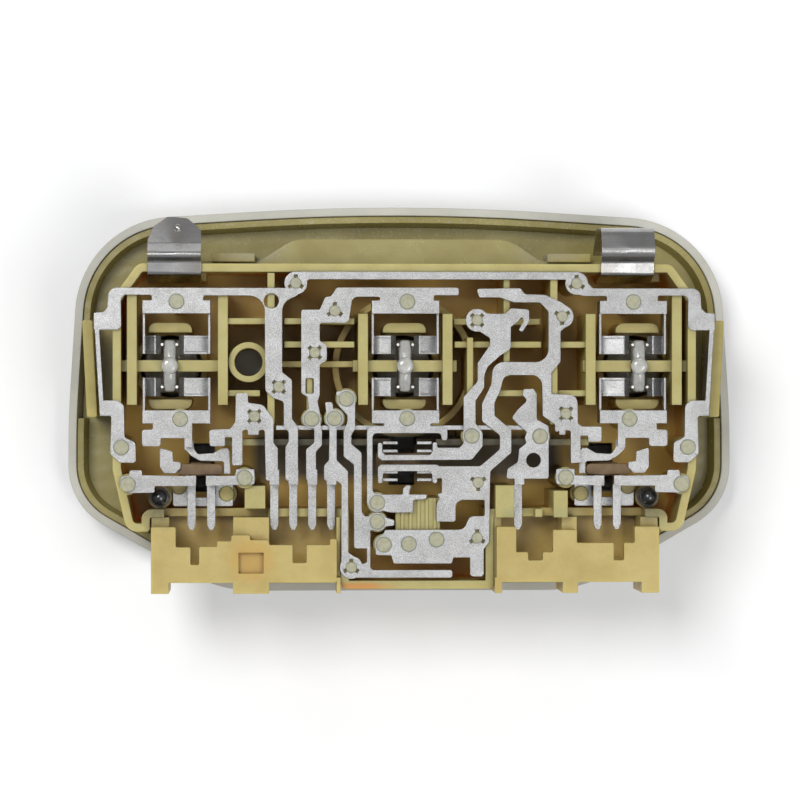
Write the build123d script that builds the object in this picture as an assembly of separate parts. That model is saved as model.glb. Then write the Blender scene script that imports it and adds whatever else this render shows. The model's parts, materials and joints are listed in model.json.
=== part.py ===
from build123d import *
import os
from math import atan2, cos, hypot, pi, sin, tan

os.makedirs("parts", exist_ok=True)

# Car roof lamp, lying on the trim ring that faces the cabin, with its circuit side up.
# Millimetres. +X runs along the lamp, +Y towards the spring clips, +Z towards the roof.
# The origin is at the middle of the lamp, on the plane that the trim ring rests on.

# ---- overall sizes --------------------------------------------------------------------
panel_width = 126.6        # trim ring, end to end
panel_height = 73.2        # trim ring, clip side to plug side
circuit_z = 31.0           # underside of the stamped circuit
sheet = 0.8                # tinned brass sheet of the circuit
gap = 0.1                  # clearance between mouldings that fit into each other

# The circuit and the mouldings under it are drawn for a panel of this size. Their places
# stretch with the panel, and bulbs, stakes, plug bays and switches keep their own size.
drawn_width = 126.6
drawn_height = 73.2
wide = panel_width / drawn_width
tall = panel_height / drawn_height
sheet_x = -0.8             # where the drawing's own zero lies on the panel
sheet_y = -0.7

# ---- trim ring and lens ---------------------------------------------------------------
ring_height = 9.0
ring_wall = 1.5
ring_lip = 5.0             # width of the ring's front lip, which holds the lens
ring_lip_thickness = 1.4
ring_draft = 8.0           # degrees that the ring's wall leans in towards the cabin
top_drop = 2.9             # clip-side edge, from its middle down to its corners
top_corner_radius = 19.0
low_corner_radius = 15.0
low_corner_drop = 16.5     # from the plug-side edge up to the corner of the slanted edge
low_corner_inset = 28.7    # from the end of the panel in to the foot of the slanted edge
low_blend_radius = 25.0
lens_thickness = 2.4
lens_rim = 1.2             # upstanding edge of the lens, which lines the ring
lens_rim_drop = 0.6        # top of that edge below the ring's back edge

# ---- bulbs and their contacts ---------------------------------------------------------
lamp_x = 42.1              # reading lamp contacts, from the middle of the panel
lamp_y = 6.1
bulb_offset = 1.3          # reading bulbs stand this much outward of their contact pads
bulb_length = 26.8         # wedge-base 5 W bulb
bulb_radius = 5.15
bulb_room = 0.7            # free space round a bulb in its hole
wedge_width = 9.5
wedge_thickness = 2.2
wedge_height = 8.5
wire_radius = 0.25
bulb_top_drop = 0.6        # wedge end below the top of the circuit
finger_width = 3.4
finger_sheet = 0.4
finger_gap = 0.05          # finger to lead wire
finger_reach = 3.9         # middle of a finger from the bulb's axis, along Y
finger_curl = 0.35         # long edges of a finger stand up by this much
cheek_depth = 4.2          # bent sides of a contact pad, below the circuit
pad_reach = 6.2            # half the width of a contact pad, over its bent sides
pad_near = 9.6             # edge of the upper pad nearest the bulb, along Y
low_pad_near = 8.2         # edge of the lower pad nearest the bulb, along Y

# ---- circuit fixings ------------------------------------------------------------------
stake_radius = 1.15
head_radius = 1.45
head_height = 0.35
star_radius = 1.0
star_slot = 0.55           # how far the slots of a star hole reach past it
star_slot_width = 0.7
collar = 0.55              # least metal left round a stake

# ---- plug bays ------------------------------------------------------------------------
pin_width = 1.5
pin_drop = 3.4             # pins lie this far below the circuit
pin_length = 9.2
pitch_small = 3.6          # two-way bays
pitch_large = 3.5          # four-way bay
bay_floor = 21.5
bay_wall = 2.0
deck = 2.2                 # roof of the plug bays
bay_mouth = 33.8           # mouth of the bays, towards -Y
bay_post = 1.9             # posts beside the mouths stand out by this much
latch_width = 4.6          # recess for a plug's latch
latch_depth = 1.3
one_way_offset = 2.3       # the single pin stands off the middle of its bay

# ---- mouldings ------------------------------------------------------------------------
wall = 1.5
cell_wall = 1.8            # walls beside the reading lamps and the middle lamp
floor_z = 13.5
floor_thickness = 1.5
tub_top = 12.0
tub_wall = 1.5
boss_bore = 2.6            # screw boss
boss_wall = 1.1

# ---- switches -------------------------------------------------------------------------
rocker_tilt_room = 1.6     # space for a rocker in its window, all round
rocker_pivot_z = 6.4
trunnion_radius = 1.2
trunnion_length = 2.0
pivot_clearance = 0.05
cap_front = 0.9            # front of the rocker caps above the resting plane

# ---- spring clips ---------------------------------------------------------------------
clip_width = 9.8
clip_sheet = 0.5
clip_left_x = 42.5
clip_right_x = 41.0
clip_toe = 1.2             # the inner leg of a clip leans in by this much


# ======================================================================================
# helpers
# ======================================================================================

def spot(x, y):
    """A place of the circuit drawing, on the panel."""
    return ((x + sheet_x) * wide, (y + sheet_y) * tall)


def rounded_face(points):
    """Closed face through the corners (x, y, radius), each rounded within its sides."""
    count = len(points)
    starts, ends, mids = [], [], []
    for i, (x, y, radius) in enumerate(points):
        x0, y0 = points[i - 1][:2]
        x1, y1 = points[(i + 1) % count][:2]
        a = (x0 - x, y0 - y)
        b = (x1 - x, y1 - y)
        la, lb = hypot(*a), hypot(*b)
        a = (a[0] / la, a[1] / la)
        b = (b[0] / lb, b[1] / lb)
        dot = max(-1.0, min(1.0, a[0] * b[0] + a[1] * b[1]))
        half = (pi - abs(atan2(a[0] * b[1] - a[1] * b[0], dot))) / 2
        if radius <= 0 or half < 0.02:
            starts.append((x, y))
            ends.append((x, y))
            mids.append(None)
            continue
        reach = min(radius * tan(half), 0.46 * la, 0.46 * lb)
        limited = reach / tan(half)
        depth = limited * (1 / cos(half) - 1)
        way = (a[0] + b[0], a[1] + b[1])
        size = hypot(*way)
        starts.append((x + a[0] * reach, y + a[1] * reach))
        ends.append((x + b[0] * reach, y + b[1] * reach))
        mids.append((x + way[0] / size * depth, y + way[1] / size * depth))
    edges = []
    for i in range(count):
        if mids[i]:
            edges.append(ThreePointArc(starts[i], mids[i], ends[i]))
        edges.append(Line(ends[i], starts[(i + 1) % count]))
    return make_face(edges)


def drawn(points, radius=0.4):
    """Face of a circuit outline. A corner may state its own radius."""
    corners = []
    for point in points:
        x, y = spot(point[0], point[1])
        corners.append((x, y, point[2] if len(point) > 2 else radius))
    return rounded_face(corners)


def plate(face, z, thickness):
    return extrude(Pos(0, 0, z) * face, thickness)


def block(x0, x1, y0, y1, z0, z1):
    """Box between opposite corners, in panel coordinates."""
    return Pos((x0 + x1) / 2, (y0 + y1) / 2, (z0 + z1) / 2) * Box(x1 - x0, y1 - y0, z1 - z0)


def post(x, y, radius, z0, z1):
    return Pos(x, y, (z0 + z1) / 2) * Cylinder(radius, z1 - z0)


def flipped(shape):
    """The same shape on the other end of the panel."""
    return mirror(shape, Plane.YZ)


def star(x, y, z0, z1, slots, turn):
    """Star hole that grips a stake: a round hole with slots around it."""
    tool = post(x, y, star_radius, z0, z1)
    for i in range(slots):
        angle = turn + i * 360.0 / slots
        arm = Pos(star_radius / 2 + star_slot / 2 + 0.3, 0, (z0 + z1) / 2)
        arm = arm * Box(star_radius + star_slot - 0.6, star_slot_width, z1 - z0)
        tool += Pos(x, y, 0) * Rot(0, 0, angle) * arm
    return tool


saved = {}


def save(name, shape):
    saved[name] = shape
    export_step(shape, f"parts/{name}.step")


# ======================================================================================
# trim ring and lens
# ======================================================================================

def panel_outline(inset):
    """Outline of the lamp's back edge, moved in by inset all round."""
    half_w = panel_width / 2
    half_h = panel_height / 2
    low_y = -half_h + low_corner_drop
    foot_x = half_w - low_corner_inset
    corners = [
        (half_w - 2.3, half_h - top_drop, top_corner_radius),
        (half_w, -4.0 * tall, 150.0),
        (half_w, low_y, low_corner_radius),
        (foot_x, -half_h, low_blend_radius),
    ]
    mirrored = [(-x, y, radius) for x, y, radius in reversed(corners)]
    apex = half_h + 0.3 * top_drop      # its wide curve comes back down to half_h
    face = rounded_face([(0, apex, 600.0)] + corners + mirrored)
    return offset(face, -inset, kind=Kind.INTERSECTION) if inset else face


def make_ring():
    body = extrude(panel_outline(0), -ring_height, taper=ring_draft)
    room = extrude(panel_outline(ring_wall), ring_lip_thickness - ring_height, taper=ring_draft)
    window = extrude(panel_outline(ring_lip + ring_lean), -ring_height)
    return Pos(0, 0, ring_height) * (body - room - window)


ring_lean = ring_height * tan(ring_draft * pi / 180)
lens_inset = ring_wall + ring_lean + gap
lens_z = ring_lip_thickness
lens_top = lens_z + lens_thickness
side_wall_low = -3.4 * tall                  # tall walls beside the reading lamps
side_wall_high = 14.6 * tall


# ======================================================================================
# places shared by the mouldings, the switches and the circuit
# ======================================================================================

side_x = lamp_x * wide                       # reading lamp contacts
bulb_x = side_x + bulb_offset                # reading bulbs
lamp_line = lamp_y * tall                    # all three bulbs stand on this line
bulb_places = {"left": -bulb_x, "centre": 0.0, "right": bulb_x}
pad_places = {"left": -side_x, "centre": 0.0, "right": side_x}
circuit_top = circuit_z + sheet
bulb_top = circuit_top - bulb_top_drop
bulb_hole = bulb_radius + bulb_room

reading_cap = (14.0, 8.0)                    # size of a reading switch's cap
centre_cap = (20.0, 9.0)
reading_x = 37.8 * wide
reading_y = -13.0 * tall
centre_y = -11.7 * tall
stem_width = 3.6
stem_depth = 2.4
contact_head = (10.4, 3.2, 2.4)              # contact carrier on the centre rocker
head_top = circuit_z - 6.4
head_swing = 3.2                             # room that it needs to tilt, along Y

bays = {
    # middle, width, pins, pitch, side
    "two_way_left": (-37.6 * wide, 11.8, 2, pitch_small),
    "four_way": (-18.9 * wide, 12.4, 4, pitch_large),
    "one_way": (23.3 * wide, 11.2, 1, pitch_small),
    "two_way_right": (37.6 * wide, 11.8, 2, pitch_small),
}
pin_root = -15.0 * tall
pin_z = circuit_z - pin_drop
mouth_y = -bay_mouth * tall


def pin_places(bay):
    middle, width, count, pitch = bays[bay]
    if count == 1:
        return [middle - one_way_offset]
    return [middle + (i - (count - 1) / 2) * pitch for i in range(count)]


# ======================================================================================
# lens and the translucent tub that stands on it
# ======================================================================================

def rocker_windows(z0, z1, room):
    """Openings for the three rocker caps."""
    half_w, half_d = reading_cap[0] / 2 + room, reading_cap[1] / 2 + room
    tool = block(reading_x - half_w, reading_x + half_w,
                 reading_y - half_d, reading_y + half_d, z0, z1)
    tool += flipped(tool)
    half_w, half_d = centre_cap[0] / 2 + room, centre_cap[1] / 2 + room
    return tool + block(-half_w, half_w, centre_y - half_d, centre_y + half_d, z0, z1)


def make_lens():
    disc = Pos(0, 0, lens_z) * extrude(panel_outline(lens_inset), lens_thickness)
    outside = extrude(panel_outline(ring_wall + gap), lens_z - ring_height, taper=ring_draft)
    inside = extrude(panel_outline(ring_wall + gap + lens_rim), -ring_height, taper=ring_draft)
    rim = Pos(0, 0, ring_height) * (outside - inside)
    rim -= block(-panel_width, panel_width, -panel_height, panel_height,
                 ring_height - lens_rim_drop, ring_height + 1)
    notch = block(panel_width / 2 - 6.0, panel_width / 2, side_wall_low - 0.3, side_wall_high + 0.3,
                  lens_top, ring_height + 1)
    lens = disc + rim - notch - flipped(notch)
    return lens - rocker_windows(lens_z - 1, lens_top + 1, rocker_tilt_room)


def tub_outline(inset):
    """Outline of the tub, with a bulge round the middle bulb on the clip side."""
    edge_x = panel_width / 2 - 10.6
    top_y = 26.2 * tall
    bulge_y = panel_height / 2 - 6.2
    low_y = -25.0 * tall
    corners = [
        (20.5 * wide, bulge_y, 8.0), (26.8 * wide, top_y, 4.0), (46.5 * wide, top_y, 2.0),
        (edge_x, 20.0 * tall, 3.0), (edge_x, -14.0 * tall, 3.0), (46.0 * wide, low_y, 3.5),
        (20.0 * wide, low_y - 5.0, 3.0),
    ]
    mirrored = [(-x, y, radius) for x, y, radius in reversed(corners)]
    face = rounded_face(corners + mirrored)
    return offset(face, -inset, kind=Kind.INTERSECTION) if inset else face


ledge_y = 26.0 * tall            # ledges beside the spring clips


def rocker_cheeks(x, y, half_width):
    """The two ears with bearing holes that carry a rocker."""
    ears = None
    for side in (-1, 1):
        near = x + side * (half_width + 0.2)
        far = near + side * wall
        ear = block(min(near, far), max(near, far), y - 2.6, y + 2.6, lens_top, tub_top)
        ears = ear if ears is None else ears + ear
    bore = Pos(x, y, rocker_pivot_z) * Rot(0, 90, 0)
    return ears - bore * Cylinder(trunnion_radius + pivot_clearance, 2 * half_width + 8)


def rocker_shafts(z0, z1):
    """Passages for the rocker stems and the ends of their swing."""
    reach = stem_depth / 2 + 3.4
    half = stem_width / 2 + 0.6
    tool = block(reading_x - half, reading_x + half, reading_y - reach, reading_y + reach, z0, z1)
    tool += flipped(tool)
    return tool + block(-half, half, centre_y - reach, centre_y + reach, z0, z1)


def make_tub():
    skirt = extrude(tub_outline(0), tub_top - lens_top) - extrude(tub_outline(tub_wall), 40)
    skirt = Pos(0, 0, lens_top) * skirt
    roof = Pos(0, 0, tub_top - tub_wall) * extrude(tub_outline(0), tub_wall)
    tub = skirt + roof
    for x in bulb_places.values():
        tub -= post(x, lamp_line, bulb_hole, 0, 40)
    tub -= rocker_shafts(0, 40)
    cheek = rocker_cheeks(reading_x, reading_y, reading_cap[0] / 2 + 0.2)
    tub += cheek + flipped(cheek)
    tub += rocker_cheeks(0, centre_y, centre_cap[0] / 2 + 0.2)
    ledge = block(27.8 * wide, 36.0 * wide, ledge_y, ledge_y + 1.6, lens_top, tub_top + 2.0)
    side = side_wall() + ledge
    return tub + side + flipped(side)


def side_wall():
    """Tall wall beside a reading lamp, which stands on a foot of the tub."""
    out = panel_width / 2 - 3.6
    top = circuit_z - 5.0
    low, high = side_wall_low, side_wall_high
    points = [(out - 0.9, low, 0.4), (out, high, 0.4), (out - 1.9, high, 0.4), (out - 2.8, low, 0.4)]
    upright = plate(rounded_face(points), lens_top, top - lens_top)
    foot = block(panel_width / 2 - 12.0, out - 1.6, low + 1, high - 1, tub_top - tub_wall, tub_top)
    return upright + foot


save("trim_ring", make_ring())
save("lens", make_lens())
save("reflector_tub", make_tub())


# ======================================================================================
# stamped circuit
# ======================================================================================

# Stakes and star holes of each bar: places on the drawing. A star hole also has its
# number of slots and the direction of the first one.
lamp_stake = (-41.3, 18.6)
low_stake = (-40.6, -3.0)

stakes = {
    "supply_bar": [(-51.4, -8.2)],
    "centre_feed_bar": [(1.1, 18.6), (-16.5, -3.0)],
    "frame_bar": [(-12.3, -2.9), (-10.1, 0.7), (-4.4, -21.9)],
    "switch_input_bar": [(1.1, -2.9), (-4.4, -18.4)],
    "switch_output_bar": [(13.0, -6.1)],
    "distribution_bar": [(-3.2, -26.1), (1.4, -26.0), (6.5, -25.2)],
    "single_pin_bar": [(25.6, -6.2)],
    "ground_bar": [],
}
stars = {
    "supply_bar": [(-19.4, 22.0, 3, 90), (-22.5, 2.9, 4, 45), (32.4, 22.0, 3, 90)],
    "centre_feed_bar": [(-12.2, 16.9, 3, 90), (-15.9, 9.2, 4, 45)],
    "frame_bar": [(-9.2, -30.3, 3, 90)],
    "switch_input_bar": [],
    "switch_output_bar": [(14.0, 15.2, 4, 45)],
    "distribution_bar": [(29.7, 15.9, 3, 30), (30.4, -2.0, 4, 45), (14.2, -14.7, 3, 30),
                         (14.0, -24.9, 3, 90)],
    "single_pin_bar": [],
    "ground_bar": [(-27.0, -2.5, 4, 45)],
}


def fix_bar(name, shape):
    """Adds metal round the fixings of a bar, then cuts their holes."""
    z0, z1 = circuit_z, circuit_top
    holes = None
    for x, y in stakes[name]:
        px, py = spot(x, y)
        shape += post(px, py, stake_radius + collar, z0, z1)
        hole = post(px, py, stake_radius, z0 - 1, z1 + 1)
        holes = hole if holes is None else holes + hole
    for x, y, slots, turn in stars[name]:
        px, py = spot(x, y)
        shape += post(px, py, star_radius + star_slot + collar, z0, z1)
        hole = star(px, py, z0 - 1, z1 + 1, slots, turn)
        holes = hole if holes is None else holes + hole
    return shape - holes if holes else shape


def bar(points, radius=0.4):
    return plate(drawn(points, radius), circuit_z, sheet)


def pin(x, root):
    """Blade terminal: a drop through the sheet's bend, then a tapered blade towards -Y."""
    half = pin_width / 2
    tip = root - pin_length
    drop = block(x - half, x + half, root - sheet, root, pin_z, circuit_top)
    face = rounded_face([
        (x - half, root, 0), (x - half, tip + 1.0, 0.3), (x - half * 0.4, tip, 0.2),
        (x + half * 0.4, tip, 0.2), (x + half, tip + 1.0, 0.3), (x + half, root, 0),
    ])
    return drop + plate(face, pin_z, sheet)


def pin_neck(x, root, reach):
    """Flat stretch of a bar that leads to a pin, whatever the bar's own place."""
    half = pin_width / 2 + 0.15
    return block(x - half, x + half, root - sheet, root + reach, circuit_z, circuit_top)


def lamp_contact(x, y, up, offset_x):
    """Bent sides of a contact pad, and the two leaf fingers that grip the bulb's lead."""
    near = pad_near if up > 0 else low_pad_near
    back = near + 2.4
    front = finger_reach - finger_width / 2
    shape = None
    for side in (-1, 1):
        hinge = x + side * pad_reach
        inner = hinge - side * finger_sheet
        left, right = sorted((hinge, inner))
        low, high = sorted((y + up * front, y + up * back))
        cheek = block(left, right, low, high, circuit_z - cheek_depth, circuit_z - 0.5)
        low, high = sorted((y + up * near, y + up * back))
        riser = block(left, right, low, high, circuit_z - 0.6, circuit_top)
        step = block(min(hinge, x), max(hinge, x), low, high, circuit_z, circuit_top)
        low, high = sorted((y + up * front, y + up * (front + finger_width)))
        tip = offset_x + side * (wedge_thickness / 2 + 2 * wire_radius + finger_gap)
        side_view = Plane.XZ * finger(hinge, tip, side)
        leaf = Pos(0, high, 0) * extrude(side_view, high - low)
        leaf += Pos(0, high, finger_curl) * extrude(side_view, finger_sheet)
        leaf += Pos(0, low + finger_sheet, finger_curl) * extrude(side_view, finger_sheet)
        piece = cheek + riser + step + leaf
        shape = piece if shape is None else shape + piece
    return shape


def finger(root_x, tip_x, side):
    """Side view of one leaf finger, from its bent root in to the bulb."""
    z = circuit_z - 3.2
    t = finger_sheet
    path = [(root_x - side * 0.2, z), (tip_x + side * 1.0, z + 1.0),
            (tip_x, z), (tip_x + side * 0.5, z - 3.2)]
    back = [(tip_x + side * (0.5 + t), z - 3.2), (tip_x + side * t, z - 0.1),
            (tip_x + side * 1.0, z + 1.0 - t), (root_x - side * 0.2, z - t)]
    corners = [(px, pz, 0.3 if 0 < i < 3 else 0) for i, (px, pz) in enumerate(path)]
    corners += [(px, pz, 0.2 if 0 < i < 3 else 0) for i, (px, pz) in enumerate(back)]
    return rounded_face(corners)


def lamp_top(inner_x):
    """Bar over a reading lamp: contact pad, window and the arm to the side strap (left)."""
    out = -56.4
    return bar([
        (-53.7, 21.1, 1.6), (inner_x, 21.1), (inner_x, 19.7), (-36.4, 19.7), (-36.4, 16.6),
        (-45.8, 16.6), (-45.8, 19.8), (-51.5, 19.8, 1.0), (-51.4, 13.4, 1.0), (out, 13.4, 0.2),
        (out, 16.5, 0.2), (-54.7, 16.6, 0.3), (-53.9, 17.4),
    ])


def side_strap():
    """Strap on edge that runs down the side of a reading lamp (left)."""
    x0, y0 = spot(-56.4, 16.4)
    x1, y1 = spot(-55.3, -2.4)
    face = rounded_face([(x0, y0, 0), (x0 + sheet, y0, 0), (x1 + sheet, y1, 0), (x1, y1, 0)])
    return plate(face, circuit_z - 4.5, 4.5 + sheet)


def side_arm():
    """Lower arm of the side strap, which ends on a stake (left)."""
    arm = bar([
        (-55.3, 0.4, 0.2), (-52.0, 0.4), (-50.9, -0.5, 0.9), (-50.8, -6.4, 0.8),
        (-48.8, -7.3, 0.8), (-48.7, -11.0, 0.6), (-51.6, -11.0, 0.9), (-53.4, -9.4, 0.9),
        (-53.2, -2.4), (-55.3, -2.4, 0.2),
    ])
    x, y = spot(*stakes["supply_bar"][0])
    arm += post(x, y, stake_radius + collar, circuit_z, circuit_top)
    return arm - post(x, y, stake_radius, circuit_z - 1, circuit_top + 1)


def reading_side(inner_x):
    """Everything of the supply bar round the left reading lamp."""
    top = lamp_top(inner_x) + side_strap() + side_arm()
    top += lamp_contact(-side_x, lamp_line, 1, -bulb_x)
    x, y = spot(*lamp_stake)
    return top - post(x, y, stake_radius, circuit_z - 1, circuit_top + 1)


def make_supply_bar():
    down = bar([
        (-31.5, 21.1, 0.2), (-21.0, 21.1), (-18.6, 20.0, 0.3), (-21.9, 18.4, 2.4), (-21.9, 5.6, 0.6),
        (-20.1, 4.2, 0.8), (-20.1, -3.0, 0.6), (-19.0, -4.4, 0.6), (-19.0, -14.3), (-21.3, -14.3),
        (-21.3, -8.2), (-20.7, -7.2), (-20.7, -5.4), (-21.6, -4.4), (-21.6, 0.2, 0.8),
        (-23.6, 0.9, 0.8), (-25.0, 2.2, 1.0), (-25.1, 19.7, 5.0), (-31.5, 19.7, 0.2),
    ])
    rail = bar([
        (-19.4, 24.1, 0.8), (32.4, 24.1, 0.8), (35.4, 21.1, 0.6), (37.0, 21.1, 0.2),
        (37.0, 19.7, 0.2), (33.4, 19.7, 0.6), (31.0, 20.8, 0.8), (30.6, 22.7, 0.6),
        (-17.0, 22.7, 0.6), (-19.4, 20.4, 0.8),
    ])
    x, y = spot(-23.9, 18.7)
    shape = reading_side(-27.0) + down + rail + flipped(reading_side(-34.0))
    second = pin_places("four_way")[1]
    shape += pin_neck(second, pin_root, 2.0) + pin(second, pin_root)
    shape = fix_bar("supply_bar", shape)
    return shape - post(x, y, 1.4, circuit_z - 1, circuit_top + 1)


def make_centre_feed_bar():
    shape = bar([
        (-11.8, 21.2, 0.6), (10.6, 21.2), (10.6, 19.8, 0.3), (6.0, 19.8, 0.3), (6.0, 16.5),
        (-3.9, 16.5), (-3.9, 19.5), (-9.0, 19.5, 1.2), (-9.7, 14.7, 1.0), (-15.0, 14.7),
        (-15.0, 11.4), (-13.7, 10.6, 0.8), (-13.7, 7.8, 0.8), (-15.0, 7.0), (-15.0, 1.5),
        (-15.4, 0.2), (-15.0, -1.6), (-14.8, -4.4), (-14.6, -5.2), (-14.6, -7.8, 0.6),
        (-15.7, -9.0, 0.6), (-15.7, -14.3), (-17.5, -14.3), (-17.5, -8.6, 0.6), (-16.0, -7.4, 0.6),
        (-16.0, -4.8), (-18.1, -3.6, 0.6), (-18.0, -2.2, 0.5), (-17.0, -1.0), (-17.2, 1.0, 0.3),
        (-18.4, 1.8, 0.3), (-18.4, 17.1), (-15.0, 17.1), (-14.0, 19.4, 0.6), (-12.9, 19.6),
    ])
    slot = drawn([(-17.6, 1.7), (-16.1, 1.7), (-16.1, 4.5), (-17.6, 4.5)], 0.3)
    shape -= plate(slot, circuit_z - 1, sheet + 2)
    shape += lamp_contact(0, lamp_line, 1, 0)
    third = pin_places("four_way")[2]
    shape += pin_neck(third, pin_root, 2.0) + pin(third, pin_root)
    return fix_bar("centre_feed_bar", shape)


def make_frame_bar():
    """Bar that frames the lower middle of the circuit, with its two upper legs."""
    frame = bar([
        (-14.0, 0.1, 0.3), (-12.7, 0.1), (-12.5, -1.2), (-10.9, -2.0), (-10.9, -3.8, 0.6),
        (-11.9, -4.6), (-11.9, -10.6, 0.5), (-9.8, -12.6, 0.8), (-9.8, -27.5, 0.6),
        (-8.5, -28.4, 0.5), (-7.1, -29.7), (-6.3, -29.3, 0.2), (-6.3, -23.4, 0.1),
        (-5.7, -23.4, 0.1), (-5.7, -30.3, 0.3), (-5.2, -30.8, 0.3), (9.4, -30.8), (9.4, -32.2),
        (-9.6, -32.2, 1.2), (-11.0, -30.8, 1.0), (-11.0, -15.0, 0.5), (-12.0, -14.3),
        (-14.2, -14.3), (-14.2, -11.6, 0.5), (-13.3, -10.6, 0.5), (-13.2, -4.6),
        (-13.9, -3.6, 0.6), (-13.8, -1.8, 0.5),
    ])
    leg = bar([
        (-12.2, 2.1, 0.5), (-9.3, 2.1), (-8.5, 1.2), (-8.5, -4.8), (-9.2, -5.9), (-9.2, -7.6),
        (-7.3, -9.2, 0.6), (-7.3, -20.0, 0.6), (-6.7, -20.9), (-5.2, -20.9, 0.3),
        (-4.4, -20.5, 0.5), (-3.0, -21.1, 0.5), (-1.3, -21.6, 0.3), (-1.3, -22.6, 0.3),
        (-3.2, -22.8), (-4.6, -23.3), (-5.7, -23.5, 0.2), (-5.7, -26.8, 0.1), (-8.7, -26.8, 0.5),
        (-8.7, -11.4, 0.5), (-10.6, -9.9, 0.6), (-10.6, -5.2, 0.5), (-9.9, -3.6, 0.5),
        (-9.9, -2.3, 0.5), (-11.5, -0.6, 0.8), (-11.6, 1.0),
    ])
    fourth = pin_places("four_way")[3]
    shape = frame + leg + pin_neck(fourth, pin_root, 2.0) + pin(fourth, pin_root)
    return fix_bar("frame_bar", shape)


def make_switch_input_bar():
    shape = bar([
        (-4.0, -1.4, 0.3), (6.2, -1.4, 0.3), (6.2, -3.6, 0.3), (5.4, -3.9, 0.2), (5.4, -4.3, 0.1),
        (7.8, -4.3, 0.9), (8.5, -5.0, 0.5), (8.5, -6.9), (7.5, -6.9, 0.3), (7.3, -5.6, 0.8),
        (-5.3, -5.6, 0.8), (-5.3, -16.9, 1.1), (0.3, -16.9, 0.2), (0.3, -15.9), (0.9, -15.2, 0.3),
        (1.9, -15.2, 0.3), (1.5, -16.2, 0.2), (1.5, -16.9, 0.1), (4.8, -16.9, 0.2),
        (4.5, -17.7, 0.3), (2.2, -17.9, 0.2), (2.1, -20.2, 0.2), (-2.0, -20.2), (-3.6, -19.8),
        (-5.4, -19.6, 0.8), (-6.3, -18.6, 0.6), (-6.3, -5.0, 0.9), (-5.5, -4.3), (-3.2, -4.3, 0.1),
        (-3.2, -3.8, 0.2), (-4.0, -3.5, 0.2),
    ])
    shape += lamp_contact(0, lamp_line, -1, 0)
    return fix_bar("switch_input_bar", shape)


def make_switch_output_bar():
    shape = bar([
        (13.0, 17.2, 0.8), (16.3, 16.4), (19.3, 16.4), (20.3, 17.4), (23.6, 17.2, 0.5),
        (23.6, 15.0, 0.5), (22.3, 13.0, 0.3), (21.7, 13.4, 0.2), (22.6, 15.0, 0.3),
        (22.3, 15.9, 0.3), (21.2, 14.7, 0.3), (20.2, 14.0, 0.4), (20.2, 10.0, 0.8),
        (18.0, 8.5, 0.5), (15.9, 6.6, 0.5), (15.3, 5.0), (15.3, 2.8, 0.6), (13.7, 0.4, 0.6),
        (13.7, -3.8, 0.6), (15.0, -5.6, 0.6), (15.0, -8.0, 0.8), (13.0, -10.5, 0.8),
        (-3.6, -10.6, 0.5), (-4.3, -10.0, 0.3), (-4.3, -7.4, 0.3), (-3.5, -7.4, 0.3),
        (-3.5, -9.0, 0.3), (-3.0, -9.6, 0.3), (5.4, -9.6, 0.3), (5.8, -9.0, 0.3),
        (5.8, -7.3, 0.3), (6.5, -7.3, 0.2), (6.7, -8.3, 0.3), (10.8, -8.3), (11.5, -7.5, 0.5),
        (11.5, 1.0, 0.8), (14.1, 3.9, 0.8), (14.1, 7.3), (16.4, 10.6, 0.5), (16.4, 11.9, 0.5),
        (14.5, 13.1, 0.6), (12.4, 14.0, 0.8),
    ])
    return fix_bar("switch_output_bar", shape)


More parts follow.
